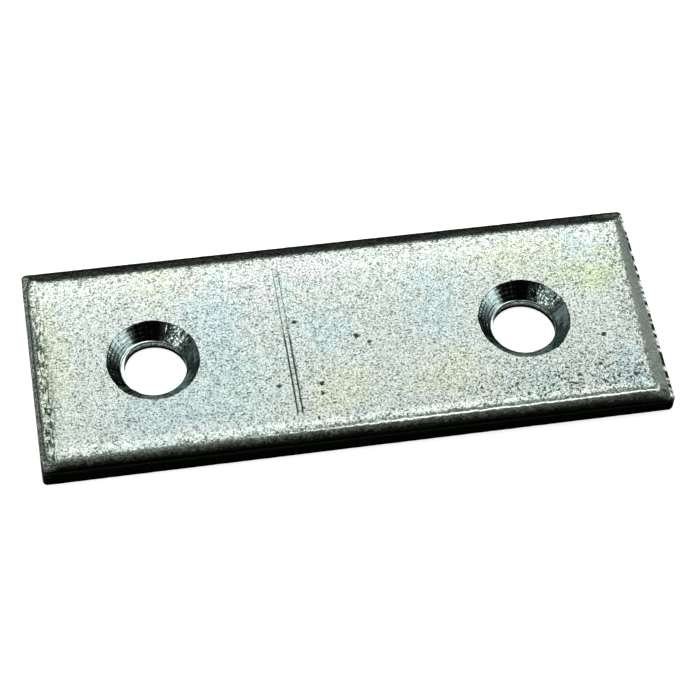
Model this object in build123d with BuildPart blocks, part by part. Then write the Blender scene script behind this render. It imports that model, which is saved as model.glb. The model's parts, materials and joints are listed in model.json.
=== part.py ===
"""Joining plate for 20 mm extrusion: a flat steel plate with two countersunk screw holes.

The origin is midway between the two holes, on the underside, which lies against the extrusions.
X runs along the plate, Y across it and Z up, out of the countersunk face. Sizes are in millimetres.
"""

import os

from build123d import *

# The blank
plate_length = 50.0
plate_width = 19.6
plate_thickness = 2.0
corner_radius = 0.4  # upright corners
roll_width = 1.2  # die roll round the top face, measured in from the plate's side
roll_depth = 0.5  # how far the die roll has dropped where it meets the side
lower_edge_radius = 0.3

# The blank is cut a little long on its +X and +Y sides, so its middle sits off the hole pattern
blank_shift_x = 0.35
blank_shift_y = 0.42

# The screw holes
hole_pitch = 30.0
hole_radius = 2.65  # clears an M5 screw
countersink_radius = 3.75
countersink_angle = 90.0

# Two fine witness lines, scored side by side across the top face
score_x = -4.2  # middle of the pair
score_gap = 0.4
score_width = 0.14
score_depth = 0.06
score_front_margin = 1.1  # bare metal between the lines' front ends and the die roll

# Worked out from the sizes above
cut_reach = plate_length + plate_width  # longer than the plate in any direction
score_back_y = blank_shift_y + plate_width / 2 - roll_width
score_front_y = blank_shift_y - plate_width / 2 + roll_width + score_front_margin


def draw_side_outline(span, middle):
    """Draw the plate's outline as seen along one of its sides, span wide about middle."""
    left = middle - span / 2
    right = middle + span / 2
    roll_bottom = plate_thickness - roll_depth
    Line((left + lower_edge_radius, 0), (right - lower_edge_radius, 0))
    CenterArc((right - lower_edge_radius, lower_edge_radius), lower_edge_radius, 270, arc_size=90)
    Line((right, lower_edge_radius), (right, roll_bottom))
    EllipticalCenterArc((right - roll_width, roll_bottom), roll_width, roll_depth, 0, arc_size=90)
    Line((right - roll_width, plate_thickness), (left + roll_width, plate_thickness))
    EllipticalCenterArc((left + roll_width, roll_bottom), roll_width, roll_depth, 90, arc_size=90)
    Line((left, roll_bottom), (left, lower_edge_radius))
    CenterArc((left + lower_edge_radius, lower_edge_radius), lower_edge_radius, 180, arc_size=90)


with BuildPart() as joining_plate:
    # Seen from above: a rectangle with softened corners
    with BuildSketch(Plane.XY):
        with Locations((blank_shift_x, blank_shift_y)):
            RectangleRounded(plate_length, plate_width, corner_radius)
    extrude(amount=plate_thickness)

    # Seen from the front: the ends' die roll and lower edges
    with BuildSketch(Plane.XZ):
        with BuildLine():
            draw_side_outline(plate_length, blank_shift_x)
        make_face()
    extrude(amount=cut_reach, both=True, mode=Mode.INTERSECT)

    # Seen from the end: the same edge form on the two long sides
    with BuildSketch(Plane.YZ):
        with BuildLine():
            draw_side_outline(plate_width, blank_shift_y)
        make_face()
    extrude(amount=cut_reach, both=True, mode=Mode.INTERSECT)

    # One countersunk hole for each of the two extrusions that the plate joins
    with Locations((0, 0, plate_thickness)):
        with GridLocations(hole_pitch, 0, 2, 1):
            CounterSinkHole(hole_radius, countersink_radius, counter_sink_angle=countersink_angle)

    # The witness lines: two V grooves, from the back die roll towards the front
    with BuildSketch(Plane.XZ.offset(-score_back_y)):
        with Locations((score_x, plate_thickness)):
            with GridLocations(score_gap, 0, 2, 1):
                Polygon(
                    (-score_width / 2, 0),
                    (0, -score_depth),
                    (score_width / 2, 0),
                    align=None,
                )
    extrude(amount=score_back_y - score_front_y, mode=Mode.SUBTRACT)

joining_plate.part.label = "joining_plate"

os.makedirs("parts", exist_ok=True)
export_step(joining_plate.part, "parts/joining_plate.step")
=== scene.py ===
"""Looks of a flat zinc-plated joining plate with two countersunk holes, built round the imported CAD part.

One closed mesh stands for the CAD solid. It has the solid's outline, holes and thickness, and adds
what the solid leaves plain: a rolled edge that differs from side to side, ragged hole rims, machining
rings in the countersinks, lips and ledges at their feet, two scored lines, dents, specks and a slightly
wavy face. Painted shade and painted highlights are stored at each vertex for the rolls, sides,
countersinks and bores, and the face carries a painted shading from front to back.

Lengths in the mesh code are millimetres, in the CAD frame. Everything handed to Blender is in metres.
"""

import json
import math
from collections import namedtuple

import bmesh
import bpy
import numpy as np
from mathutils import Matrix, Vector
from mathutils.geometry import delaunay_2d_cdt


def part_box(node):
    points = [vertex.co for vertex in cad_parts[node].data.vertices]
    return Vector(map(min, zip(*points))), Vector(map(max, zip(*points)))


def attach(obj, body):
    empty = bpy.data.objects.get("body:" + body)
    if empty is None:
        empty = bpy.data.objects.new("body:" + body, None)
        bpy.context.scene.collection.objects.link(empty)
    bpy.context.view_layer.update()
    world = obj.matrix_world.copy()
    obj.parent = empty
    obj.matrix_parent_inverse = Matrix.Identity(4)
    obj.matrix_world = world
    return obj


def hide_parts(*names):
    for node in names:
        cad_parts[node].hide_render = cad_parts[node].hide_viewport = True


MM = 0.001
NODE = "joining_plate"

# How far something wanders from its even course, and about how long each swing is, in millimetres
Wave = namedtuple("Wave", "height length")

# ---------------------------------------------------------------- sizes of the plate, in millimetres
COUNTERSINK_RADIUS = 3.75
CORNER_RADIUS = 0.4
LOWER_EDGE_LEFT = 0.1  # radius of the lower edge at the plate's left end and at its right end
LOWER_EDGE_RIGHT = 0.55

# The rolled top edge of each side, walking round from the front left corner. start and end are the
# roll's width seen from above at the side's two ends, drop is how far the edge has sunk where it meets
# the side, and fullness is 2 for a quarter ellipse and nearer 1 for a flat chamfer. The tones are painted
# shade and painted highlight: they say how dark the roll is painted at each of ROLL_STOPS, from its inner
# border to the side, at the start and at the end: 0 is bare zinc, 1 is nearly black, and below 0 is a
# painted highlight. side says how dark the side is painted, as painted shade.
ROLL_STOPS = (0.0, 0.05, 0.15, 0.22, 0.24, 0.31, 0.33, 0.60, 0.80, 1.0)
Roll = namedtuple("Roll", "start end drop fullness start_tones end_tones side")
# The front's end tones of -1.0 paint a highlight line along the right part of its rolled edge
FRONT = Roll(
    1.30, 1.46, 0.50, 1.45,
    (0.05, 0.15, 0.34, 0.50, 0.53, 0.56, 0.60, 0.88, 1.05, 1.2),
    (0.28, 0.50, 0.52, 0.52, -1.0, -1.0, 0.66, 0.88, 1.1, 1.2),
    1.25,
)
RIGHT = Roll(
    1.50, 0.95, 0.50, 1.30,
    (0.12, 0.34, 0.42, 0.43, 0.43, 0.43, 0.43, 0.43, 0.42, 0.42),
    (0.12, 0.34, 0.42, 0.43, 0.43, 0.43, 0.43, 0.43, 0.42, 0.42),
    0.85,
)
BACK = Roll(
    1.40, 1.45, 0.50, 1.40,
    (0.05, 0.12, 0.24, 0.42, 0.50, 0.60, 0.66, 0.70, 0.74, 0.9),
    (0.05, 0.12, 0.24, 0.42, 0.50, 0.60, 0.66, 0.70, 0.74, 0.9),
    0.85,
)
LEFT = Roll(
    0.36, 0.40, 0.50, 1.60,
    (0.70, 0.90, 0.95, 0.80, 0.65, 0.42, 0.38, 0.36, 0.40, 0.5),
    (0.70, 0.90, 0.95, 0.80, 0.65, 0.42, 0.38, 0.36, 0.40, 0.5),
    0.60,
)
# The steep edge's darkness is painted shade and its bright beads are painted glints
OUTER_EDGE = 0.86  # the right roll ends in a dark, steep edge past this reach, with bright beads along it
OUTER_FALL = 0.5  # the share of the right roll's drop that the steep edge makes
OUTER_TONE = 0.8
BEAD_SPACING = 0.6
BEAD_SHINE = 1.8  # how far below the steep edge's own tone a bead is
TONE_BLEND = (0.26, 0.62)  # a side's tones change from start to end between these shares of its length
WIDTH_WAVE = Wave(0.02, 0.8)  # how a roll's width and fullness wander, as a share of them
FULLNESS_WAVE = Wave(0.02, 1.1)
SHOULDER_WIDTH = 2.6  # the face already leans a little this far inside the rolls
SHOULDER_SLOPE = math.radians(3.5)
EDGE_STRIP = 1.9  # the strip of mesh along each side that holds the widest roll

# What the cutters left at the foot of each countersink, by the angle round the hole in degrees: a lip
# round the end of the cone, made bright with a painted highlight, and a ledge where the cone ran off the
# bore's axis. Both are widest at their middle and die out a reach away from it.
Arc = namedtuple("Arc", "middle reach widest")
LIPS = (Arc(125, 62, 0.15), Arc(120, 55, 0.08))
LEDGES = (Arc(183, 75, 0.33), Arc(215, 120, 0.30))
LEDGE_DROP = 0.05
LEDGE_EDGE = 0.045  # how far the ledge's inner edge is rounded; that edge is painted dark as shade
STEP_TONE = 0.3  # how dark the small step between lip and ledge is painted, as painted shade
BORE_TONES = (0.35, 1.05)  # how dark the bore is painted as shade, at its top and at its lower end
RIM_OVAL = 0.14  # the countersinks are this much wider across the plate than the nominal circle
RIM_NARROW = 0.04  # and this much narrower along it
RIM_FINE_WAVE = Wave(0.012, 0.3)
RIM_BROAD_WAVE = Wave(0.012, 2.5)

# How dark the countersinks are painted, by the angle round the hole in degrees: painted shade and
# reflection, and a painted highlight where the tone is below 0. A zone has its full tone within inner
# degrees of its middle and has died out at outer degrees. Tones are as for the rolls, and the zones'
# tones are added up.
Zone = namedtuple("Zone", "middle inner outer tone")
CONE_TONE = 0.15
CONE_FINE_WAVE = Wave(0.07, 0.35)  # the wandering of the tone makes streaks down the cone
CONE_BROAD_WAVE = Wave(0.05, 1.2)
CONE_ZONES = (
    Zone(205, 20, 50, 0.35),
    Zone(-90, 20, 60, 0.15),
    Zone(-25, 25, 55, -0.42),
    Zone(94, 17, 27, 0.75),
)
# a painted highlight on the back left of each cone
CONE_SHINE = Zone(142, 16, 34, -0.95)
SHINE_LOSS = 0.3  # the share of its painted highlight that the shiny zone loses on the way down
CONE_SHADE = Zone(-120, 60, 110, 0.2)  # painted shade: this zone only darkens on the way down
CONE_RINGED = Zone(145, 24, 40, 0.35)
RINGS_DOWN = 3.6  # tool rings from the rim to the foot
CONE_LINE = 0.95  # the tone of the painted dark lines along the rim and the foot
FOOT_GAP = Zone(110, 50, 80, 1.0)  # there is no dark line at the foot here
LIP_TONE = 0.5  # the lip and the ledge have this tone, and are brighter by up to the shine, a painted highlight
LIP_SHINE = 2.5
LIP_BRIGHT = (  # the zones of each hole's lip that carry the painted highlight
    (Zone(150, 70, 95, 1.0),),
    (Zone(150, 70, 95, 1.0), Zone(-90, 30, 60, 1.0)),
)
TORN = Zone(50, 22, 32, 1.0)  # where the cutter tore the cone

# Rings left by the countersinking tool
RING_PITCH = 0.26
RING_HEIGHT = 0.012

# Mesh spacing
MIN_WIDTH = 0.008  # no ring of mesh is narrower than this
TOP_STEP = 0.15
HOLE_BLOCK_HALF = 5.4  # half side of the square of mesh that is wrapped round each hole
HOLE_BLOCK_RINGS = 16
HOLE_BLOCK_CROWDING = 1.3  # above 1, those rings crowd towards the hole
CONE_RINGS = 24
BORE_RINGS = 4
FLAT_RINGS = 4  # across the strip's flat part, before the roll starts
ROLL_RINGS = 20
WALL_RINGS = 5
LOWER_EDGE_RINGS = 3
CORNER_STEPS = 16
UNDERSIDE_STEP = 0.7
SHARP_ANGLE = math.radians(32)

# Two fine lines scored across the top, side by side
SCORE_X = -4.2
SCORE_GAP = 0.4
SCORE_WIDTH = 0.17
SCORE_DEPTH = 0.06
SCORE_FRONT_Y = -7.1
SCORE_STRONG_Y = 1.0  # the lines are deep in front of here and fade towards the back
SCORE_BACK_Y = 8.6
SCORE_FAINT = 0.6  # the strength of the faint part
SCORE_MIDDLES = (SCORE_X - SCORE_GAP / 2, SCORE_X + SCORE_GAP / 2)

# Dents in the top face: middle x and y, radius and depth
Dent = namedtuple("Dent", "x y radius depth")
DENTS = (
    Dent(-3.40, 2.15, 0.19, 0.05),
    Dent(-5.52, -3.92, 0.18, 0.05),
    Dent(-2.12, -4.08, 0.20, 0.08),
    Dent(-2.18, -5.00, 0.17, 0.05),
    Dent(1.31, 0.14, 0.24, 0.05),
    Dent(2.25, -0.60, 0.15, 0.04),
    Dent(21.03, -2.44, 0.20, 0.05),
    Dent(20.12, -5.26, 0.18, 0.05),
)
# Specks are drawn at random in this rectangle, and most are kept at its front right
SPECK_COUNT = 130
SPECK_X = (2, 24)
SPECK_Y = (-8, 0)
SPECK_RADIUS = 0.11
SPECK_DEPTH = 0.02

# Unevenness of the face, and of everything below it
FACE_BROAD_WAVE = Wave(0.006, 9.0)
FACE_FINE_WAVE = Wave(0.0035, 1.4)
SIDE_WAVE = Wave(0.004, 0.7)

# How bright the plating is painted across the plate, from the front to the back: painted shade in front,
# lighter towards the back, and a painted highlight along the front at -7.72
SHADE_Y = (-9.0, -8.0, -7.72, -7.4, -7.0, -5.0, -1.0, 3.5, 5.5, 6.5, 7.5, 9.0)
SHADE = (0.63, 0.66, 0.92, 0.70, 0.66, 0.68, 0.70, 0.74, 0.80, 0.82, 0.95, 0.92)

# Patches of colour in the passivated zinc: middle x and y, radius across x and across y, colour
Tint = namedtuple("Tint", "x y across deep colour")
SKY = (0.89, 0.98, 1.04)
STRAW = (1.02, 1.01, 0.88)
LIME = (1.00, 1.03, 0.76)
ROSE = (1.04, 0.97, 1.02)
SEA = (0.93, 1.02, 1.02)
TINTS = (
    Tint(-23.5, 1.0, 2.5, 9.0, STRAW),
    Tint(-14.0, -5.5, 5.5, 3.2, SKY),
    Tint(-9.8, 2.5, 3.0, 5.5, SKY),
    Tint(-8.0, -3.5, 3.5, 4.5, SEA),
    Tint(-14.5, 7.5, 4.0, 2.0, STRAW),
    Tint(-11.8, 7.2, 1.6, 1.6, ROSE),
    Tint(-6.0, 5.0, 1.7, 3.5, ROSE),
    Tint(-1.5, 7.4, 2.5, 1.6, ROSE),
    Tint(-4.0, 3.5, 1.5, 4.0, SEA),
    Tint(-1.0, 1.2, 2.8, 2.0, SKY),
    Tint(-0.8, -4.6, 3.0, 2.6, STRAW),
    Tint(8.0, 2.6, 2.6, 4.0, SKY),
    Tint(8.3, -4.8, 3.6, 2.6, STRAW),
    Tint(15.5, 6.5, 5.0, 2.6, STRAW),
    Tint(21.3, 3.9, 3.2, 2.4, LIME),
    Tint(20.0, 7.5, 2.6, 1.6, SKY),
    Tint(22.4, -6.0, 2.2, 2.4, SKY),
    Tint(15.3, -6.2, 2.0, 2.2, SEA),
)
TINT_WAVE = Wave(0.5, 3.0)  # the tints' outlines wander

SEED = 20


# ---------------------------------------------------------------- mesh patches
class Shell:
    """Collects patches of faces and welds them where their corners meet."""

    def __init__(self):
        self.points = []
        self.dark = []
        self.faces = []
        self.count = 0

    def add_points(self, points, dark):
        """Add an array of points with their painted shade and highlight tone, and return their numbers,
        shaped as given.
        """
        shape = points.shape[:-1]
        self.points.append(points.reshape(-1, 3))
        self.dark.append(np.broadcast_to(dark, shape).reshape(-1))
        numbers = np.arange(self.count, self.count + int(np.prod(shape))).reshape(shape)
        self.count += numbers.size
        return numbers

    def add_patch(self, points, dark=0.0, closed=False):
        """Join a grid of points with quads. A closed patch runs round in its second direction."""
        n = self.add_points(points, dark)
        if closed:
            n = np.concatenate([n, n[:, :1]], axis=1)
        quads = np.stack([n[:-1, :-1], n[:-1, 1:], n[1:, 1:], n[1:, :-1]], axis=-1)
        self.faces.extend(quads.reshape(-1, 4).tolist())

    def add_triangles(self, points, triangles, dark=0.0):
        n = self.add_points(points, dark)
        self.faces.extend(n[np.array(triangles)].tolist())

    def welded(self):
        """Return the points, their painted shade and highlight tone and the faces, with points that meet
        joined into one.
        """
        points = np.concatenate(self.points)
        keys = np.round(points * 1e4).astype(np.int64)
        _, first, number = np.unique(keys, axis=0, return_index=True, return_inverse=True)
        number = number.reshape(-1)
        faces = []
        for face in self.faces:
            corners = list(dict.fromkeys(int(number[c]) for c in face))
            if len(corners) > 2:
                faces.append(corners)
        return points[first], np.concatenate(self.dark)[first], faces


def spaced(stops, step):
    """Return positions from the first stop to the last, evenly spaced between stops, about step apart."""
    parts = [np.array(stops[:1])]
    for a, b in zip(stops, stops[1:]):
        cells = max(1, round((b - a) / step))
        parts.append(np.linspace(a, b, cells + 1)[1:])
    return np.concatenate(parts)


def between(positions, low, high):
    """The positions from low to high, both ends included."""
    return positions[(positions > low - 1e-9) & (positions < high + 1e-9)]


def flat_patch(xs, ys, z):
    x, y = np.meshgrid(xs, ys)
    return np.stack([x, y, np.full_like(x, z)], axis=-1)


def smooth_step(low, high, value):
    t = np.clip((value - low) / (high - low), 0, 1)
    return t * t * (3 - 2 * t)


def ripples(points, wavelength, seed, count=24):
    """A smooth random height at each point, about -2 to 2, with features about a wavelength long."""
    rng = np.random.default_rng(seed)
    total = np.zeros(len(points))
    for _ in range(count):
        heading = rng.normal(size=points.shape[1])
        heading /= np.linalg.norm(heading)
        frequency = 2 * math.pi / wavelength * rng.uniform(0.6, 1.5)
        total += np.cos(points @ heading * frequency + rng.uniform(0, 2 * math.pi))
    return total / math.sqrt(count / 2)


def waves(points, wave, seed):
    return wave.height * ripples(points, wave.length, seed)


# ---------------------------------------------------------------- the plate's surface
def score_lines():
    """The x of every mesh line that the two scored lines need: both lips and the bottom of each."""
    return [middle + side * SCORE_WIDTH / 2 for middle in SCORE_MIDDLES for side in (-1, 0, 1)]


def on_rim(angles):
    """Points at the angles on the nominal rim of a countersink, relative to its middle."""
    return np.stack([np.cos(angles), np.sin(angles)], axis=-1) * COUNTERSINK_RADIUS


def hole_rim(angles, seed):
    """Radius of the countersink's slightly oval and ragged rim."""
    circle = on_rim(angles)
    oval = (RIM_OVAL + RIM_NARROW) * np.sin(angles) ** 2 - RIM_NARROW
    ragged = waves(circle, RIM_FINE_WAVE, seed) + waves(circle, RIM_BROAD_WAVE, seed + 1)
    return COUNTERSINK_RADIUS + oval + ragged


def away_from(angles, middle):
    """How far each angle, in radians, is from a middle in degrees, in degrees."""
    return np.abs((np.degrees(angles) - middle + 180) % 360 - 180)


def arc_width(arc, angles):
    return arc.widest * (1 - smooth_step(0, arc.reach, away_from(angles, arc.middle))) + MIN_WIDTH


def near(angles, zone):
    """The zone's tone at each angle."""
    return zone.tone * (1 - smooth_step(zone.inner, zone.outer, away_from(angles, zone.middle)))


def cone_tones(angles, down, seed):
    """How dark each point of the cone is painted, as painted shade and reflection, with a painted
    highlight below 0: streaked down its slope, with a dark line at both its edges.
    """
    circle = on_rim(angles)
    tones = CONE_TONE + waves(circle, CONE_FINE_WAVE, seed + 3) + waves(circle, CONE_BROAD_WAVE, seed + 4)
    for zone in CONE_ZONES:
        tones = tones + near(angles, zone)
    tones = tones + near(angles, CONE_SHINE) * (1 - SHINE_LOSS * down)
    tones += near(angles, CONE_SHADE) * down
    turns = down * RINGS_DOWN + 0.04 * angles
    rings = np.sin(2 * math.pi * turns + 0.9 * ripples(circle, 1.6, seed + 5))
    tones += rings * near(angles, CONE_RINGED) * (1 - smooth_step(0.5, 0.95, down))
    rim_line = 1 - smooth_step(0.02, 0.07, down)
    foot_line = smooth_step(0.92, 0.975, down) * (1 - near(angles, FOOT_GAP))
    lines = np.maximum(rim_line, foot_line)
    return tones + lines * (CONE_LINE - tones)


def square_outline(xs, ys):
    """The mesh points round a square, counterclockwise from its front left corner."""
    cells = len(xs) - 1
    return np.concatenate([
        np.stack([xs[:-1], np.full(cells, ys[0])], axis=-1),
        np.stack([np.full(cells, xs[-1]), ys[:-1]], axis=-1),
        np.stack([xs[:0:-1], np.full(cells, ys[-1])], axis=-1),
        np.stack([np.full(cells, xs[0]), ys[:0:-1]], axis=-1),
    ])


def cone_rows(angles, rim_radius, lip, top, foot, seed):
    """Radius, height and painted tone of each ring of a countersink, from its rim to its foot."""
    down = np.linspace(0, 1, CONE_RINGS + 1)[:, None]
    tones = cone_tones(angles, down, seed)
    return [(rim_radius + d * (lip - rim_radius), top + d * (foot - top), tone)
            for d, tone in zip(down[:, 0], tones)]


def foot_rows(angles, lip, ledge, foot, bore_radius, number):
    """Radius, height and painted tone of the rings from the lip over the ledge and down the bore."""
    bright = sum(near(angles, zone) for zone in LIP_BRIGHT[number])
    shiny = LIP_TONE - LIP_SHINE * np.minimum(bright, 1)
    step = foot - LEDGE_DROP
    wall_top = step - LEDGE_EDGE
    rows = [
        ((lip + bore_radius) / 2, foot - MIN_WIDTH, shiny),
        (np.full_like(lip, bore_radius), foot - 2 * MIN_WIDTH, STEP_TONE),
        (np.full_like(lip, bore_radius - MIN_WIDTH), step, STEP_TONE),
        ((bore_radius + ledge) / 2, step - MIN_WIDTH, shiny),
        (ledge + LEDGE_EDGE / 2, step - 2 * MIN_WIDTH, shiny),
        (ledge, wall_top, 1.0),
    ]
    upper, lower = BORE_TONES
    for share in np.arange(1, BORE_RINGS + 1) / BORE_RINGS:
        tone = upper + (lower - upper) * smooth_step(0.3, 0.8, share)
        rows.append((ledge, wall_top * (1 - share), tone))
    return rows


def add_hole(shell, centre, xs, ys, top, bore_radius, number):
    """The square of top face round a hole, its countersink and its bore. Returns the bore's lower end."""
    seed = SEED + 10 * (number + 1)
    square = square_outline(xs, ys)
    angles = np.arange(len(square)) / len(square) * 2 * math.pi - 0.75 * math.pi
    ray = np.stack([np.cos(angles), np.sin(angles)], axis=-1)
    rim_radius = hole_rim(angles, seed)
    rim = centre + ray * rim_radius[:, None]
    spread = (np.arange(HOLE_BLOCK_RINGS + 1) / HOLE_BLOCK_RINGS) ** HOLE_BLOCK_CROWDING
    face = rim + spread[:, None, None] * (square - rim)
    shell.add_patch(np.concatenate([face, np.full(face.shape[:2] + (1,), top)], axis=-1), closed=True)

    foot = top - (COUNTERSINK_RADIUS - bore_radius)  # a 90 degree cone goes down as fast as it narrows
    lip = bore_radius + arc_width(LIPS[number], angles)
    ledge = bore_radius - arc_width(LEDGES[number], angles)
    rows = cone_rows(angles, rim_radius, lip, top, foot, seed)
    rows += foot_rows(angles, lip, ledge, foot, bore_radius, number)
    radius = np.array([r for r, _, _ in rows])
    height = np.array([np.full_like(lip, h) for _, h, _ in rows])
    dark = np.array([np.broadcast_to(t, lip.shape) for _, _, t in rows])
    bore = wound(centre, ray, radius, height)
    shell.add_patch(bore, dark=dark, closed=True)
    return bore[-1, :, :2]


def wound(centre, ray, radius, height):
    """Points at a radius and height along each ray from a hole's middle."""
    flat = centre + ray * radius[..., None]
    return np.concatenate([flat, height[..., None]], axis=-1)


Column = namedtuple("Column", "inner outer facing width shape tones")


def roll_shape(roll):
    return np.array([roll.drop, roll.fullness, roll.side])


def edge_loop(xs, ys):
    """Walk round the plate from its front left corner, and return one Column per column of mesh.

    Each has its point on the flat face, its point on the outline, the direction that faces out there,
    the roll's width, its shape (drop, fullness and how dark the side is painted) and its painted tones.
    """
    along = np.array([[1.0, 0.0], [0.0, 1.0], [-1.0, 0.0], [0.0, -1.0]])
    rolls = (FRONT, RIGHT, BACK, LEFT)
    corners = np.array([[xs[0], ys[0]], [xs[-1], ys[0]], [xs[-1], ys[-1]], [xs[0], ys[-1]]])
    nodes = (xs - xs[0], ys - ys[0], xs[-1] - xs[::-1], ys[-1] - ys[::-1])
    columns = []
    for side in range(4):
        ahead = along[side]
        out = -along[(side + 1) % 4]
        roll, following = rolls[side], rolls[(side + 1) % 4]
        shape = roll_shape(roll)
        next_shape = roll_shape(following)
        start_tones = np.array(roll.start_tones)
        tones = np.array(roll.end_tones)
        next_tones = np.array(following.start_tones)
        for distance in nodes[side]:
            inner = corners[side] + ahead * distance
            along_side = distance / nodes[side][-1]
            width = roll.start + along_side**2 * (roll.end - roll.start)
            here = start_tones + smooth_step(*TONE_BLEND, along_side) * (tones - start_tones)
            columns.append(Column(inner, inner + out * EDGE_STRIP, out, width, shape, here))
        inner = corners[(side + 1) % 4]
        for share in np.arange(1, CORNER_STEPS) / CORNER_STEPS:
            outer, facing = corner_point(inner, out, ahead, share)
            blend = smooth_step(0, 1, share)
            width = roll.end + blend * (following.start - roll.end)
            mixed = shape + blend * (next_shape - shape)
            turned = tones + blend * (next_tones - tones)
            columns.append(Column(inner, outer, facing, width, mixed, turned))
    return columns


def corner_point(inner, out, ahead, share):
    """The point a share of the way round a corner's outline, and the direction that faces out there."""
    leg = EDGE_STRIP - CORNER_RADIUS
    arc = CORNER_RADIUS * math.pi / 2
    distance = share * (2 * leg + arc)
    if distance < leg:
        return inner + out * EDGE_STRIP + ahead * distance, out
    if distance < leg + arc:
        turned = (distance - leg) / CORNER_RADIUS
        facing = out * math.cos(turned) + ahead * math.sin(turned)
        return inner + (out + ahead) * leg + facing * CORNER_RADIUS, facing
    return inner + ahead * EDGE_STRIP + out * (2 * leg + arc - distance), ahead


Edge = namedtuple("Edge", "inner outer facing flat drop fullness side_tone tones")


def uneven_edge(loop):
    """The columns' values as arrays, with the rolls' width and fullness made slightly uneven."""
    inner = np.array([c.inner for c in loop])
    outer = np.array([c.outer for c in loop])
    facing = np.array([c.facing for c in loop])
    drop, fullness, side_tone = np.array([c.shape for c in loop]).T
    width = np.array([c.width for c in loop]) * (1 + waves(outer, WIDTH_WAVE, SEED + 1))
    fullness = fullness * (1 + waves(outer, FULLNESS_WAVE, SEED + 2))
    flat = 1 - width / EDGE_STRIP  # share of the strip that is still flat
    return Edge(inner, outer, facing, flat, drop, fullness, side_tone, [c.tones for c in loop])


def flat_rows(edge, top):
    """Points and tones of the strip's flat part."""
    height = np.full(len(edge.inner), top)
    plain = np.zeros(len(edge.inner))
    rows = []
    for share in np.arange(FLAT_RINGS) / FLAT_RINGS:
        points = edge.inner + (edge.outer - edge.inner) * (edge.flat * share)[:, None]
        rows.append((np.column_stack([points, height]), plain))
    return rows


def roll_rows(edge, top):
    """Points and painted tones of the roll, with painted glints as bright beads along the right side's
    steep outer edge.
    """
    # the beads are painted glints on the steep edge
    beads = smooth_step(0.0, 0.5, ripples(edge.outer, BEAD_SPACING, SEED + 8))
    steep = smooth_step(0.7, 0.95, edge.facing[:, 0])
    power = 2 / edge.fullness
    rows = []
    for angle in np.arange(ROLL_RINGS + 1) / ROLL_RINGS * math.pi / 2:
        reach = math.sin(angle) ** power
        sunk = (1 - max(0.0, math.cos(angle)) ** power) * (1 - OUTER_FALL * steep)
        sunk = sunk + OUTER_FALL * steep * smooth_step(OUTER_EDGE - 0.02, 1, reach)
        across = (edge.flat + (1 - edge.flat) * reach)[:, None]
        points = edge.inner + (edge.outer - edge.inner) * across
        tones = np.array([np.interp(r, ROLL_STOPS, t) for r, t in zip(reach, edge.tones)])
        on_edge = steep * smooth_step(OUTER_EDGE - 0.06, OUTER_EDGE, reach)
        shine = BEAD_SHINE * beads * (1 - smooth_step(0.95, 0.98, reach))
        tones = tones + on_edge * (OUTER_TONE - shine - tones)
        rows.append((np.column_stack([points, top - edge.drop * sunk]), tones))
    return rows


def side_rows(edge, top):
    """Points and painted shade tones of the side and of the rounded lower edge."""
    wall_top = top - edge.drop
    ends = (edge.outer[:, 0].min(), edge.outer[:, 0].max())
    radius = np.interp(edge.outer[:, 0], ends, (LOWER_EDGE_LEFT, LOWER_EDGE_RIGHT))
    rows = []
    for share in np.arange(1, WALL_RINGS + 1) / WALL_RINGS:
        height = wall_top + share * (radius - wall_top)
        rows.append((np.column_stack([edge.outer, height]), edge.side_tone))
    for angle in np.arange(1, LOWER_EDGE_RINGS + 1) / LOWER_EDGE_RINGS * math.pi / 2:
        inset = radius * (1 - math.cos(angle))
        height = radius * (1 - math.sin(angle))
        points = edge.outer - edge.facing * inset[:, None]
        rows.append((np.column_stack([points, height]), edge.side_tone))
    return rows


def add_edges(shell, loop, top):
    """The rolled edge, the sides and the lower edge, as one patch. Returns its last row of points."""
    edge = uneven_edge(loop)
    rows = flat_rows(edge, top) + roll_rows(edge, top) + side_rows(edge, top)
    points = np.array([row for row, _ in rows])
    shell.add_patch(points, dark=np.array([tone for _, tone in rows]), closed=True)
    return points[-1, :, :2]


def add_underside(shell, outline, holes, centres, bore_radius):
    """The flat underside, as triangles between its outline and the two bores."""
    points = list(outline)
    edges = ring_edges(0, len(outline))
    ring_of = [-1] * len(outline)  # the number of the hole that each point is on, or -1
    for number, hole in enumerate(holes):
        edges += ring_edges(len(points), len(hole))
        points += list(hole)
        ring_of += [number] * len(hole)
    points += inner_points(outline, centres, bore_radius)
    made = delaunay_2d_cdt([Vector(p) for p in points], edges, [], 0, 1e-7)
    places = np.array([tuple(p) for p in made[0]])
    triangles = np.array(made[2])
    ring_of = np.array(ring_of + [-1] * (len(places) - len(ring_of)))
    corners = ring_of[triangles]
    in_hole = (corners[:, 0] >= 0) & (corners[:, 0] == corners[:, 1]) & (corners[:, 1] == corners[:, 2])
    shell.add_triangles(np.column_stack([places, np.zeros(len(places))]), triangles[~in_hole])


def inner_points(outline, centres, bore_radius):
    """Points spread over the underside, clear of its outline and of the bores."""
    low, high = outline.min(axis=0), outline.max(axis=0)
    margin = UNDERSIDE_STEP
    points = []
    for x in np.arange(low[0] + margin, high[0] - margin / 2, UNDERSIDE_STEP):
        for y in np.arange(low[1] + margin, high[1] - margin / 2, UNDERSIDE_STEP):
            if all(math.dist((x, y), centre) > bore_radius + margin / 3 for centre in centres):
                points.append((x, y))
    return points


def ring_edges(start, count):
    return [(start + i, start + (i + 1) % count) for i in range(count)]


def random_specks():
    rng = np.random.default_rng(SEED + 2)
    specks = []
    for _ in range(SPECK_COUNT):
        x = rng.uniform(*SPECK_X)
        y = rng.uniform(*SPECK_Y)
        if rng.uniform() < smooth_step(0, 22, x) * smooth_step(1, -8, y):
            specks.append(Dent(x, y, SPECK_RADIUS * rng.uniform(0.6, 1.3), SPECK_DEPTH))
    return specks


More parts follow.
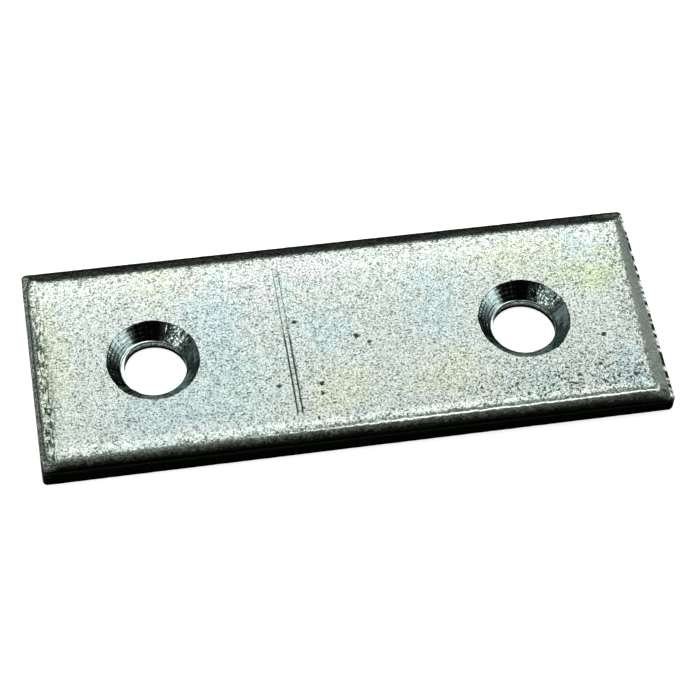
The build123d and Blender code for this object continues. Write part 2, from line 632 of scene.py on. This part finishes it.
def score_cuts(points):
    """How deep the two scored lines cut at each point, as a share of their depth."""
    y = points[:, 1]
    strength = SCORE_FAINT + (1 - SCORE_FAINT) * smooth_step(SCORE_STRONG_Y + 1, SCORE_STRONG_Y - 1, y)
    strength *= smooth_step(SCORE_FRONT_Y, SCORE_FRONT_Y + 0.5, y)
    strength *= smooth_step(SCORE_BACK_Y, SCORE_BACK_Y - 1, y)
    deepest = np.zeros(len(points))
    for middle in SCORE_MIDDLES:
        across = np.abs(points[:, 0] - middle) / (SCORE_WIDTH / 2)
        deepest = np.maximum(deepest, np.clip(1 - across, 0, 1) * strength)
    return deepest


def dent_depths(points):
    """How deep the dents and specks are at each point."""
    depth = np.zeros(len(points))
    for dent in (*DENTS, *random_specks()):
        away = np.hypot(points[:, 0] - dent.x, points[:, 1] - dent.y) / dent.radius
        depth += dent.depth * (1 - smooth_step(0.4, 1.3, away))
    return depth


def shoulder_drop(points):
    """How far the face has sunk near the rolls, which it leans into gently."""
    low, high = points.min(axis=0), points.max(axis=0)
    gaps = (
        (points[:, 0] - low[0], LEFT),
        (high[0] - points[:, 0], RIGHT),
        (points[:, 1] - low[1], FRONT),
        (high[1] - points[:, 1], BACK),
    )
    drop = np.zeros(len(points))
    for gap, roll in gaps:
        leaning = np.clip((roll.start + SHOULDER_WIDTH - gap) / SHOULDER_WIDTH, 0, 1)
        drop += math.tan(SHOULDER_SLOPE) * SHOULDER_WIDTH / 2 * leaning**2
    return drop


def relief(points, normals, sunk, holes, top):
    """Move the points along their normals for the waves of the face and the marks on it."""
    upper = smooth_step(top - 0.45, top - 0.1, points[:, 2]) * (1 - sunk)
    marked = (normals[:, 2] > 0.8) * upper
    cuts = score_cuts(points)
    height = waves(points, FACE_BROAD_WAVE, SEED + 3) + waves(points, FACE_FINE_WAVE, SEED + 4)
    height -= shoulder_drop(points)
    height = height * upper - (dent_depths(points) + SCORE_DEPTH * cuts) * marked
    height += (1 - upper) * waves(points, SIDE_WAVE, SEED + 5) * (points[:, 2] > 0.05)
    height += chatter(points, holes, top) * sunk
    return points + normals * height[:, None], cuts * marked


def tint_and_shade_colours(points):
    """The colour that the plating's film gives to each point, 1 where it has none, times the painted
    shade and light of SHADE.
    """
    wander = np.column_stack([waves(points, TINT_WAVE, SEED + seed) for seed in (6, 7)])
    x, y = (points[:, :2] + wander).T
    shade = np.interp(points[:, 1], SHADE_Y, SHADE)
    colours = np.repeat(shade[:, None], 3, axis=1)
    for tint in TINTS:
        away = np.hypot((x - tint.x) / tint.across, (y - tint.y) / tint.deep)
        colours *= 1 + (np.array(tint.colour) - 1) * (1 - smooth_step(0.1, 1.35, away))[:, None]
    return colours


def pitted_share(points):
    """How thickly the small dark pits lie: most at the front right, and along the edges and the score."""
    x, y = points[:, 0], points[:, 1]
    corner = smooth_step(-2, 18, x) * smooth_step(1, -7, y)
    front = 0.55 * smooth_step(-4.5, -7.5, y) * smooth_step(-14, 0, x)
    left = 0.9 * smooth_step(-22.6, -23.8, x)
    right = 0.8 * smooth_step(22.4, 23.2, x) * smooth_step(24.6, 24.0, x)
    score = 0.5 * smooth_step(1.0, 0.3, np.abs(x - SCORE_X)) * smooth_step(3, 0, y)
    return np.max([corner, front, left, right, score], axis=0)


def even_share(points, low, high):
    """1 on the right roll, which is smooth and plain grey, and 0 elsewhere."""
    x, y = points[:, 0], points[:, 1]
    along_side = (y - low[1]) / (high[1] - low[1])
    border = high[0] - RIGHT.start - along_side**2 * (RIGHT.end - RIGHT.start)
    ends = smooth_step(low[1] + 1.2, low[1] + 1.6, y) * smooth_step(high[1] - 1.0, high[1] - 1.5, y)
    return smooth_step(0.1, 0.35, x - border) * ends


def in_hole(points, hole):
    """True at the points within a countersink's rim, seen from above."""
    return np.hypot(*(points[:, :2] - hole).T) < COUNTERSINK_RADIUS + 0.1


def sunk_share(points, holes, top):
    """1 at the points of the countersinks and bores, and 0 elsewhere."""
    inside = np.any([in_hole(points, hole) for hole in holes], axis=0)
    return (inside & (points[:, 2] < top - 0.01) & (points[:, 2] > 0.001)).astype(float)


def mottled_share(points, holes, sunk):
    """1 where the cutter tore the cone, on its back right side, and 0 elsewhere."""
    share = np.zeros(len(points))
    for hole in holes:
        x, y = (points[:, :2] - hole).T
        share = np.maximum(share, near(np.arctan2(y, x), TORN) * in_hole(points, hole))
    return share * sunk


def painted_streak_share(points):
    """1 on the strip along the left end that carries painted streaks of shade, and 0 elsewhere."""
    return smooth_step(-22.7, -23.6, points[:, 0]) * smooth_step(10, 2, points[:, 1])


def chatter(points, holes, top):
    """Height of the rings that the tool left in each countersink, strongest on its back left side."""
    height = np.zeros(len(points))
    for hole in holes:
        x, y = (points[:, :2] - hole).T
        angle = np.arctan2(y, x)
        depth = top - points[:, 2]
        rings = np.sin(2 * math.pi * (depth + 0.03 * angle) / RING_PITCH)
        here = smooth_step(0.9, 2.0, np.abs(angle - 0.2)) * (y > -1) * in_hole(points, hole)
        height += RING_HEIGHT * rings * here * smooth_step(0, 0.1, depth)
    return height


def mesh_lines(low, high, holes):
    """The x and the y of the mesh lines across the top face, inside the edge strip."""
    xs_stops = [low[0] + EDGE_STRIP, high[0] - EDGE_STRIP, *score_lines()]
    for x, _ in holes:
        xs_stops += [x - HOLE_BLOCK_HALF, x + HOLE_BLOCK_HALF]
    ys_stops = [low[1] + EDGE_STRIP, -HOLE_BLOCK_HALF, HOLE_BLOCK_HALF, high[1] - EDGE_STRIP]
    return spaced(sorted(xs_stops), TOP_STEP), spaced(ys_stops, TOP_STEP)


def add_top(shell, xs, ys, top, holes, bore_radius):
    """The top face inside the edge strip, with both holes. Returns the lower end of each bore."""
    mid_ys = between(ys, -HOLE_BLOCK_HALF, HOLE_BLOCK_HALF)
    shell.add_patch(flat_patch(xs, between(ys, ys[0], -HOLE_BLOCK_HALF), top))
    shell.add_patch(flat_patch(xs, between(ys, HOLE_BLOCK_HALF, ys[-1]), top))
    free_from = xs[0]
    bore_ends = []
    for number, (x, y) in enumerate(holes):
        shell.add_patch(flat_patch(between(xs, free_from, x - HOLE_BLOCK_HALF), mid_ys, top))
        block_xs = between(xs, x - HOLE_BLOCK_HALF, x + HOLE_BLOCK_HALF)
        bore_ends.append(add_hole(shell, np.array([x, y]), block_xs, mid_ys, top, bore_radius, number))
        free_from = x + HOLE_BLOCK_HALF
    shell.add_patch(flat_patch(between(xs, free_from, xs[-1]), mid_ys, top))
    return bore_ends


def build_plate(low, high, holes, bore_radius):
    """Return the plate's finished mesh object, in metres."""
    top = high[2]
    xs, ys = mesh_lines(low, high, holes)
    shell = Shell()
    bore_ends = add_top(shell, xs, ys, top, holes, bore_radius)
    outline = add_edges(shell, edge_loop(xs, ys), top)
    add_underside(shell, outline, bore_ends, holes, bore_radius)

    points, dark, faces = shell.welded()
    mesh = bpy.data.meshes.new("plate_finished")
    mesh.from_pydata((points * MM).tolist(), [], faces)
    mesh.validate()
    fix_normals(mesh)
    normals = np.zeros(len(points) * 3)
    mesh.vertex_normals.foreach_get("vector", normals)
    sunk = sunk_share(points, holes, top)
    moved, grime = relief(points, normals.reshape(-1, 3), sunk, holes, top)
    mesh.vertices.foreach_set("co", (moved * MM).ravel())
    store_marks(mesh, {
        "dark": dark,
        "grime": grime,
        "sunk": sunk,
        "mottled": mottled_share(points, holes, sunk),
        "pitted": pitted_share(points) * (1 - sunk),
        "streaked": painted_streak_share(points) * (1 - sunk),
        "even": even_share(points, low, high),
    }, tint_and_shade_colours(points))
    mesh.shade_smooth()
    mesh.set_sharp_from_angle(angle=SHARP_ANGLE)
    plate = bpy.data.objects.new("plate_finished", mesh)
    bpy.context.scene.collection.objects.link(plate)
    return plate


def store_marks(mesh, marks, tints_and_shade):
    """Store at each vertex the numbers and the tint, with the painted shade in it, that the material
    reads.
    """
    for name, values in marks.items():
        mesh.attributes.new(name, "FLOAT", "POINT").data.foreach_set("value", values)
    colours = np.column_stack([tints_and_shade, np.ones(len(tints_and_shade))])
    mesh.attributes.new("tint", "FLOAT_COLOR", "POINT").data.foreach_set("color", colours.ravel())


def fix_normals(mesh):
    """Turn every face of a closed mesh outwards."""
    work = bmesh.new()
    work.from_mesh(mesh)
    bmesh.ops.recalc_face_normals(work, faces=work.faces)
    work.to_mesh(mesh)
    work.free()


# ---------------------------------------------------------------- materials
class Nodes:
    """Short ways to add and join the nodes of one material or world."""

    def __init__(self, tree):
        self.tree = tree
        tree.nodes.clear()

    def add(self, kind, **settings):
        node = self.tree.nodes.new(kind)
        for name, value in settings.items():
            setattr(node, name, value)
        return node

    def link(self, output, socket):
        self.tree.links.new(output, socket)

    def put(self, socket, value):
        """Link an output to a socket, or write a plain value on it."""
        if isinstance(value, bpy.types.NodeSocket):
            self.link(value, socket)
        else:
            socket.default_value = value

    def math(self, operation, *values, clamp=False):
        node = self.add("ShaderNodeMath", operation=operation, use_clamp=clamp)
        for socket, value in zip(node.inputs, values):
            self.put(socket, value)
        return node.outputs[0]

    def noise(self, vector, scale, detail=2.0, roughness=0.5, distortion=0.0):
        node = self.add("ShaderNodeTexNoise")
        self.link(vector, node.inputs["Vector"])
        node.inputs["Scale"].default_value = scale
        node.inputs["Detail"].default_value = detail
        node.inputs["Roughness"].default_value = roughness
        node.inputs["Distortion"].default_value = distortion
        return node.outputs["Fac"]

    def ramp(self, value, *stops):
        node = self.add("ShaderNodeValToRGB")
        elements = node.color_ramp.elements
        while len(elements) < len(stops):
            elements.new(0.5)
        for element, (position, colour) in zip(elements, stops):
            element.position = position
            element.color = (*colour, 1)
        self.link(value, node.inputs["Fac"])
        return node.outputs["Color"]

    def remap(self, value, low, high, new_low, new_high, smooth=True):
        node = self.add("ShaderNodeMapRange", interpolation_type="SMOOTHSTEP" if smooth else "LINEAR")
        self.put(node.inputs["Value"], value)
        node.inputs["From Min"].default_value = low
        node.inputs["From Max"].default_value = high
        node.inputs["To Min"].default_value = new_low
        node.inputs["To Max"].default_value = new_high
        return node.outputs["Result"]

    def mix(self, factor, a, b, blend="MIX"):
        node = self.add("ShaderNodeMix", data_type="RGBA", blend_type=blend)
        self.put(node.inputs["Factor"], factor)
        for socket, value in ((node.inputs[6], a), (node.inputs[7], b)):
            self.put(socket, (*value, 1) if isinstance(value, tuple) else value)
        return node.outputs[2]

    def attribute(self, name):
        return self.add("ShaderNodeAttribute", attribute_name=name).outputs["Fac"]

    def scaled(self, vector, factors):
        """The vector with each of its parts multiplied by its factor."""
        node = self.add("ShaderNodeVectorMath", operation="MULTIPLY")
        self.link(vector, node.inputs[0])
        node.inputs[1].default_value = factors
        return node.outputs[0]


def new_material(name):
    """An empty material, and its nodes."""
    material = bpy.data.materials.new(name)
    material.use_nodes = True
    return material, Nodes(material.node_tree)


# Colours are linear red, green and blue. A ramp pairs each colour with the value that it stands at.
GRAIN_RAMP = (
    (0.40, (0.34, 0.41, 0.37)),
    (0.47, (0.58, 0.67, 0.62)),
    (0.53, (0.76, 0.86, 0.80)),
    (0.60, (0.97, 1.0, 0.98)),
)
CRYSTAL_SHARE = 0.75  # the grain is mostly crystals, and the rest is clouds
PIT_COLOUR = (0.06, 0.09, 0.07)
PIT_LIMIT = 0.26  # there is a pit where the noise is below this
PIT_LIMIT_MORE = 0.19  # and this much is added where the plate is pitted
PIT_SHARPNESS = 22.0
# Painted streaks of shade along the left end, standing in for the shading bands of its rolled edge
STREAK_STRETCH = (1.0, 0.24, 1.0)
STREAK_RAMP = (
    (0.44, (0.10, 0.14, 0.12)),
    (0.54, (1.0, 1.0, 1.0)),
)
SUNK_SHADE_COLOUR = (0.30, 0.40, 0.42)  # painted shade and reflection: multiplies the colour in the countersinks and bores
TORN_RAMP = (
    (0.44, (0.03, 0.05, 0.045)),
    (0.52, (0.16, 0.23, 0.22)),
    (0.61, (0.8, 0.95, 0.92)),
)
PLAIN_COLOUR = (0.60, 0.68, 0.63)  # the grain fades to this where the painted shade tone is dark or the metal is even
# Painted shade: how far the tone darkens the colour
PAINTED_SHADE_RAMP = (
    (0.12, (1.0, 1.0, 1.0)),
    (0.45, (0.26, 0.27, 0.25)),
    (0.75, (0.083, 0.088, 0.076)),
    (1.0, (0.008, 0.009, 0.007)),
)
# Painted highlights, where the tone is below 0
HIGHLIGHT_COLOUR = (0.95, 0.97, 0.95)
SUNK_HIGHLIGHT_COLOUR = (0.60, 0.78, 0.75)
SCORE_COLOUR = (0.05, 0.06, 0.06)
DENT_COLOUR = (0.03, 0.04, 0.035)
DENT_WOBBLE = 0.3  # how far the outline of a dent's dark patch wanders
BUMP_DEPTH = 0.035
FLOOR_COLOUR = (0.9, 0.9, 0.9, 1)
FLOOR_LIFT = 0.75


def dent_darkening(n, mm):
    """1 in the darkened bottoms of the dents, with broken outlines."""
    wobble = n.add("ShaderNodeTexNoise")
    n.link(mm, wobble.inputs["Vector"])
    wobble.inputs["Scale"].default_value = 4.0
    shift = n.add("ShaderNodeVectorMath", operation="MULTIPLY_ADD")
    n.link(wobble.outputs["Color"], shift.inputs[0])
    shift.inputs[1].default_value = (DENT_WOBBLE,) * 3
    n.link(mm, shift.inputs[2])
    offset = Vector((DENT_WOBBLE / 2,) * 3)  # the noise is 0.5 on average
    most = 0.0
    for dent in DENTS:
        away = n.add("ShaderNodeVectorMath", operation="DISTANCE")
        n.link(shift.outputs[0], away.inputs[0])
        away.inputs[1].default_value = Vector((dent.x, dent.y, 2.0)) + offset
        inside = n.remap(away.outputs["Value"], dent.radius * 0.8, dent.radius * 1.3, 1.0, 0.0)
        most = n.math("MAXIMUM", most, inside)
    return most


def face_colour(n, mm, grain):
    """The grainy zinc of the face, with its pits, its painted streaks of shade at the left end, and its
    film times the painted shade of SHADE.
    """
    colour = n.ramp(grain, *GRAIN_RAMP)
    pit = n.noise(mm, 4.0, detail=1.5, roughness=0.5, distortion=0.9)
    limit = n.math("ADD", n.math("MULTIPLY", n.attribute("pitted"), PIT_LIMIT_MORE), PIT_LIMIT)
    pit = n.math("MULTIPLY", n.math("SUBTRACT", limit, pit), PIT_SHARPNESS, clamp=True)
    colour = n.mix(pit, colour, PIT_COLOUR)
    streaks = n.ramp(n.noise(n.scaled(mm, STREAK_STRETCH), 5.0, detail=2.0), *STREAK_RAMP)
    colour = n.mix(n.attribute("streaked"), colour, n.mix(1.0, colour, streaks, "MULTIPLY"))
    # the tint holds the film's colour times the painted shade of SHADE
    film_and_shade = n.add("ShaderNodeAttribute", attribute_name="tint").outputs["Color"]
    return n.mix(1.0, colour, film_and_shade, "MULTIPLY")


def shaded_sunk_colour(n, mm, colour, sunk):
    """Painted shade and reflection, darker and blue-green, in the countersinks and bores, blotched where
    the cutter tore it.
    """
    colour = n.mix(sunk, colour, n.mix(1.0, colour, SUNK_SHADE_COLOUR, "MULTIPLY"))
    torn = n.ramp(n.noise(mm, 5.0, detail=3.0, roughness=0.6), *TORN_RAMP)
    return n.mix(n.attribute("mottled"), colour, torn)


def painted_shade_colour(n, colour, grain, dark, even):
    """Painted shade: darker by the tone, in a pattern that the grain breaks up."""
    plain = n.math("MAXIMUM", n.remap(dark, 0.15, 0.4, 0.0, 0.65), n.math("MULTIPLY", even, 0.9))
    colour = n.mix(plain, colour, PLAIN_COLOUR)
    spread = n.math("MULTIPLY", n.remap(dark, 0.0, 0.8, 0.36, 0.12), n.remap(even, 0.0, 1.0, 1.0, 0.2))
    shift = n.math("MULTIPLY", spread, n.remap(grain, 0.38, 0.62, 1.0, -1.0, smooth=False))
    return n.mix(1.0, colour, n.ramp(n.math("ADD", dark, shift), *PAINTED_SHADE_RAMP), "MULTIPLY")


def painted_highlight_colour(n, colour, dark, sunk):
    """Painted highlight where the tone is below 0. In the countersinks it is bluish, down to a tone of -1.
    """
    shine = n.math("MULTIPLY", dark, -1.0)
    bluish = n.math("SUBTRACT", sunk, n.math("SUBTRACT", shine, 1.0, clamp=True))
    highlight = n.mix(bluish, HIGHLIGHT_COLOUR, SUNK_HIGHLIGHT_COLOUR)
    return n.mix(n.math("MULTIPLY", dark, -1.0, clamp=True), colour, highlight)


def zinc_material():
    """Zinc over steel, guided by the marks that store_marks keeps at each vertex, among them painted
    shade and painted highlights.
    """
    material, n = new_material("zinc_plated_steel")
    mm = n.scaled(n.add("ShaderNodeTexCoord").outputs["Object"], (1 / MM,) * 3)
    dark = n.attribute("dark")
    sunk = n.attribute("sunk")
    crystals = n.noise(mm, 6.0, detail=2.0, roughness=0.6, distortion=0.6)
    clouds = n.noise(mm, 1.9, detail=3.0, roughness=0.6, distortion=0.4)
    clouds = n.math("MULTIPLY", clouds, 1 - CRYSTAL_SHARE)
    grain = n.math("ADD", n.math("MULTIPLY", crystals, CRYSTAL_SHARE), clouds)
    fine = n.noise(mm, 8.0, detail=2.0, roughness=0.6, distortion=0.5)

    colour = face_colour(n, mm, grain)
    colour = shaded_sunk_colour(n, mm, colour, sunk)
    colour = painted_shade_colour(n, colour, grain, dark, n.attribute("even"))
    colour = painted_highlight_colour(n, colour, dark, sunk)
    # darker in the scored lines, and below that in the dents
    colour = n.mix(n.attribute("grime"), colour, SCORE_COLOUR)
    colour = n.mix(dent_darkening(n, mm), colour, DENT_COLOUR)

    shader = n.add("ShaderNodeBsdfPrincipled")
    n.link(colour, shader.inputs["Base Color"])
    shader.inputs["Metallic"].default_value = 1.0
    # the specular tint drops where the metal is painted dark and in the countersinks, so reflections keep
    # the painted shade
    painted_dark_share = n.math("MAXIMUM", sunk, n.remap(dark, 0.1, 0.5, 0.0, 1.0))
    n.link(n.mix(painted_dark_share, (0.8, 0.8, 0.8), (0.3, 0.3, 0.3)), shader.inputs["Specular Tint"])
    n.link(n.remap(fine, 0.3, 0.7, 0.15, 0.26, smooth=False), shader.inputs["Roughness"])
    bump = n.add("ShaderNodeBump")
    n.link(n.remap(sunk, 0.0, 1.0, 1.0, 0.22), bump.inputs["Strength"])
    bump.inputs["Distance"].default_value = BUMP_DEPTH * MM
    n.link(n.math("ADD", grain, n.math("MULTIPLY", fine, 0.4)), bump.inputs["Height"])
    n.link(bump.outputs["Normal"], shader.inputs["Normal"])
    n.link(shader.outputs[0], n.add("ShaderNodeOutputMaterial").inputs["Surface"])
    return material


def floor_material():
    """A white floor, lifted towards plain white where the camera or a reflection sees it."""
    material, n = new_material("white_floor")
    diffuse = n.add("ShaderNodeBsdfDiffuse")
    diffuse.inputs["Color"].default_value = FLOOR_COLOUR
    rays = n.add("ShaderNodeLightPath").outputs
    seen = n.math("MAXIMUM", rays["Is Camera Ray"], rays["Is Glossy Ray"])
    seen = n.math("MAXIMUM", seen, rays["Is Transmission Ray"])
    glow = n.add("ShaderNodeEmission")
    n.link(n.math("MULTIPLY", seen, FLOOR_LIFT), glow.inputs["Strength"])
    both = n.add("ShaderNodeAddShader")
    n.link(diffuse.outputs[0], both.inputs[0])
    n.link(glow.outputs[0], both.inputs[1])
    n.link(both.outputs[0], n.add("ShaderNodeOutputMaterial").inputs["Surface"])
    return material


# ---------------------------------------------------------------- studio
def direction(azimuth, elevation):
    """A unit vector. Azimuth is in degrees from +Y towards +X, and elevation is above the horizon."""
    a, e = math.radians(azimuth), math.radians(elevation)
    return Vector((math.sin(a) * math.cos(e), math.cos(a) * math.cos(e), math.sin(e)))


# Long soft boxes run from left to right over the plate. Each stop is the angle from the horizon behind
# the plate (0) over the top (90) to the horizon in front of it (180), and how bright it is there.
BOX_STOPS = (
    (0, 0.06), (34, 0.10), (42, 2.1), (48, 2.0), (53, 1.25), (57, 1.1), (63, 0.40), (68, 2.0),
    (84, 2.0), (95, 0.25), (112, 0.02), (180, 0.0),
)
BOX_HALF_LENGTH = (0.30, 0.80)  # the boxes fade between these shares of a full turn to the side

# Smaller fill lights: where, how wide (inner, outer) in degrees, and level
Fill = namedtuple("Fill", "azimuth elevation inner outer level")
FILLS = (
    Fill(-113, 30, 3, 18, 2.0),
    Fill(103, 20, 8, 34, 0.9),
    Fill(-50, 30, 10, 38, 0.55),
    Fill(50, 26, 10, 36, 0.25),
)
AMBIENT = 0.015
# A pale band low in front of the plate, which lights the face for a viewer behind it. Each pair runs
# from full strength to none.
BAND_HEIGHT = (0.35, 0.55)
BAND_FRONT = (-0.35, 0.0)
BAND_LEVEL = 0.9


def make_world():
    world = bpy.data.worlds.new("studio")
    bpy.context.scene.world = world
    world.use_nodes = True
    n = Nodes(world.node_tree)
    towards = n.add("ShaderNodeTexCoord").outputs["Generated"]
    parts = n.add("ShaderNodeSeparateXYZ")
    n.link(towards, parts.inputs[0])
    over = n.math("ARCTAN2", parts.outputs["Z"], parts.outputs["Y"])
    over = n.math("DIVIDE", over, math.pi)
    boxes = n.ramp(over, *[(angle / 180, (level / 2,) * 3) for angle, level in BOX_STOPS])
    aside = n.math("ABSOLUTE", parts.outputs["X"])
    total = n.math("MULTIPLY", n.remap(aside, *BOX_HALF_LENGTH, 2.0, 0.0), boxes)
    for fill in FILLS:
        dot = n.add("ShaderNodeVectorMath", operation="DOT_PRODUCT")
        n.link(towards, dot.inputs[0])
        dot.inputs[1].default_value = direction(fill.azimuth, fill.elevation)
        outer, inner = (math.cos(math.radians(a)) for a in (fill.outer, fill.inner))
        total = n.math("ADD", total, n.remap(dot.outputs["Value"], outer, inner, 0.0, fill.level))
    band = n.remap(parts.outputs["Z"], *BAND_HEIGHT, BAND_LEVEL, 0.0)
    in_front = n.remap(parts.outputs["Y"], *BAND_FRONT, 1.0, 0.0)
    total = n.math("ADD", total, n.math("MULTIPLY", band, in_front))
    total = n.math("ADD", total, AMBIENT)
    background = n.add("ShaderNodeBackground")
    background.inputs["Color"].default_value = (1, 1, 1, 1)
    n.link(total, background.inputs["Strength"])
    n.link(background.outputs[0], n.add("ShaderNodeOutputWorld").inputs["Surface"])


FLOOR_HALF = 1.5  # metres
FLOOR_GAP = 0.02 * MM  # the floor lies this far below the plate


def make_floor():
    mesh = bpy.data.meshes.new("floor")
    corners = [(x * FLOOR_HALF, y * FLOOR_HALF, 0) for x, y in ((-1, -1), (1, -1), (1, 1), (-1, 1))]
    mesh.from_pydata(corners, [], [(0, 1, 2, 3)])
    mesh.materials.append(floor_material())
    floor = bpy.data.objects.new("floor", mesh)
    floor.location.z = -FLOOR_GAP
    bpy.context.scene.collection.objects.link(floor)


# The camera looks down at the plate from its front left, turned a little about its own axis
CAMERA_AIM = (0.45, -1.013, 2.0)
CAMERA_AZIMUTH = 11.323
CAMERA_ELEVATION = 53.428
CAMERA_ROLL = 2.684
CAMERA_DISTANCE = 196.39
CAMERA_LENS = 127.65
CAMERA_SENSOR = 36.0


def make_camera():
    forward = -direction(CAMERA_AZIMUTH + 180, CAMERA_ELEVATION)
    level = forward.cross(Vector((0, 0, 1))).normalized()
    over = level.cross(forward)
    roll = math.radians(CAMERA_ROLL)
    right = level * math.cos(roll) + over * math.sin(roll)
    up = over * math.cos(roll) - level * math.sin(roll)
    data = bpy.data.cameras.new("camera")
    data.lens = CAMERA_LENS
    data.sensor_width = CAMERA_SENSOR
    data.clip_start = 0.01
    camera = bpy.data.objects.new("camera", data)
    turn = Matrix((right, up, -forward)).transposed().to_4x4()
    place = Vector(CAMERA_AIM) * MM - forward * CAMERA_DISTANCE * MM
    camera.matrix_world = Matrix.Translation(place) @ turn
    bpy.context.scene.collection.objects.link(camera)
    bpy.context.scene.camera = camera


# ---------------------------------------------------------------- the scene
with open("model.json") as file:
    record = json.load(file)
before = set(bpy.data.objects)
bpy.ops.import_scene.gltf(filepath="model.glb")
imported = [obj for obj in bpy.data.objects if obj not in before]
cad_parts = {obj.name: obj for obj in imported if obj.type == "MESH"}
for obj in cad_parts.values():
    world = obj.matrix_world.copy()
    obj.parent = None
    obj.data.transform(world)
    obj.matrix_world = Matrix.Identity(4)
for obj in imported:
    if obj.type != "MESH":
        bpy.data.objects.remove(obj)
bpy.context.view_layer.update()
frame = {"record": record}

low, high = (np.array(corner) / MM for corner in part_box(NODE))
bores = [m for m in frame["record"]["mounts"] if m["kind"] == "bore"]
hole_centres = [np.array(m["pos_m"][:2]) / MM for m in bores]
bore_radius = bores[0]["dims"]["r_mm"]

plate = build_plate(low, high, hole_centres, bore_radius)
plate.data.materials.append(zinc_material())
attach(plate, "root")
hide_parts(NODE)

make_floor()
make_world()
make_camera()
bpy.context.scene.view_settings.view_transform = "Standard"
